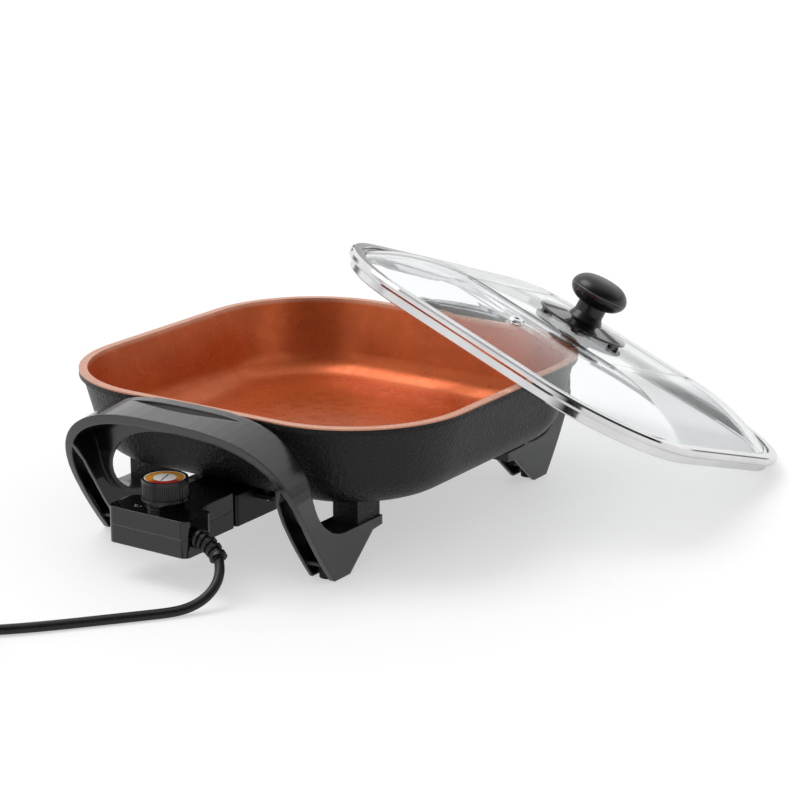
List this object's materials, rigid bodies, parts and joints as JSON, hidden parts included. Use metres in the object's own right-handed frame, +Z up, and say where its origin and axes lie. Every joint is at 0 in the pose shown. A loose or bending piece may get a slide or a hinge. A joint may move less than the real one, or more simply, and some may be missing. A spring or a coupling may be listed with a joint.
{
  "type": "electric skillet",
  "caption": "Rounded-square electric skillet on two handles with moulded legs, with a plug-in heat control, its cord, and a lift-off domed glass lid that leans on the rim.",
  "frame": {"origin": "centre of the flat cooking surface of the pan", "axes": "X runs along the two handles, with the heat control at -X; Y runs across them; Z is up, square to the cooking surface"},
  "size_m": [0.7497, 0.4018, 0.1742],
  "materials": {
    "cast_black": "cast aluminium with a fine wrinkled black coating",
    "copper_ceramic": "smooth satin copper-coloured non-stick coating",
    "dark_steel": "dull grey sheathed tube",
    "steel": "plain bright steel",
    "white_ceramic": "unglazed white insulator",
    "black_plastic": "glossy black moulding",
    "handle_plastic": "black moulding with a soft shine",
    "black_rubber": "matt black",
    "brass": "bright",
    "lamp_glass": "small clear envelope with a warm tint",
    "clear_lens": "clear",
    "cord_rubber": "satin black",
    "tie_fabric": "woven black",
    "dial_plastic": "fine grooves, satin black",
    "dial_print": "off-white disc with an orange to red scale ring",
    "lid_glass": "clear toughened glass with a faint cool tint",
    "polished_steel": "polished pressed sheet",
    "knob_plastic": "satin black moulding"
  },
  "bodies": {
    "skillet": {"pan_body": "cast_black", "nonstick_lining": "copper_ceramic", "heating_element": "dark_steel", "terminal_pins": "steel", "pin_insulators": "white_ceramic", "socket_shroud": "black_plastic", "shroud_screws": "steel", "near_handle": "handle_plastic", "far_handle": "handle_plastic", "handle_screws": "steel", "foot_pads": "black_rubber"},
    "heat_control": {"control_housing_top": "black_plastic", "control_housing_bottom": "black_plastic", "housing_screws": "steel", "probe_rod": "steel", "terminal_sleeves": "brass", "thermostat_frame": "steel", "bimetal_blade": "brass", "contact_rivets": "steel", "indicator_lamp": "lamp_glass", "lamp_lens": "clear_lens", "strain_relief": "cord_rubber", "power_cord": "cord_rubber", "cord_coil": "cord_rubber", "coil_tie": "tie_fabric", "plug_body": "cord_rubber", "plug_blades": "brass"},
    "dial": {"temperature_dial": "dial_plastic", "dial_face": "dial_print", "dial_shaft": "steel"},
    "lid": {"lid_glass": "lid_glass", "lid_band": "polished_steel", "vent_grommet": "polished_steel", "knob_base": "knob_plastic", "lid_knob": "knob_plastic", "knob_screw": "steel", "knob_washer": "black_rubber"}
  },
  "joints": [
    {"name": "lid_lift", "type": "slide", "parent": "skillet", "child": "lid", "axis": [0, 0, 1], "range_m": [0, 0.25]},
    {"name": "probe_pull", "type": "slide", "parent": "skillet", "child": "heat_control", "axis": [-1, 0, 0], "range_m": [0, 0.085]},
    {"name": "dial_turn", "type": "hinge", "parent": "heat_control", "child": "dial", "pos_m": [-0.1885, 0, 0.0085], "axis": [0, 0, 1], "range_deg": [-150, 150]}
  ]
}
